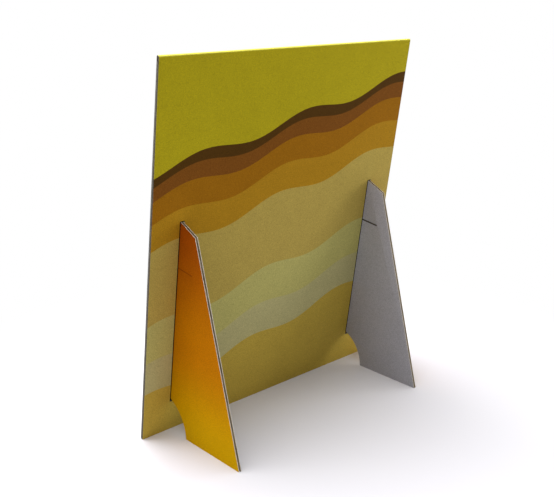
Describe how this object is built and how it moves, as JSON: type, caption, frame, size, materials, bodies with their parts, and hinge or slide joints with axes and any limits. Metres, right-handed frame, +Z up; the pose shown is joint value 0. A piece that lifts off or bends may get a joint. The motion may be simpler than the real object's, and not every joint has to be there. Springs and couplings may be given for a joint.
{
  "type": "cardboard display stand",
  "caption": "Counter display stand: a printed corrugated sheet folded double over its top edge, leaning back on flat board feet set in slots in its back ply.",
  "frame": {"origin": "on the ground, under the middle of the stand's box", "axes": "+Z up; the panel's front looks to -Y and leans back towards +Y, where the feet stand; X runs along the panel's width"},
  "size_m": [0.297, 0.1046, 0.3466],
  "materials": {
    "printed_sheet": "matt printed paper liner, bands of yellow, ochre, tan and brown",
    "printed_foot_board": "matt printed paper liner outside, red-brown running down to amber; bare grey-white liner inside"
  },
  "bodies": {
    "root": {"display_panel": "printed_sheet", "left_foot": "printed_foot_board", "right_foot": "printed_foot_board"}
  },
  "joints": []
}
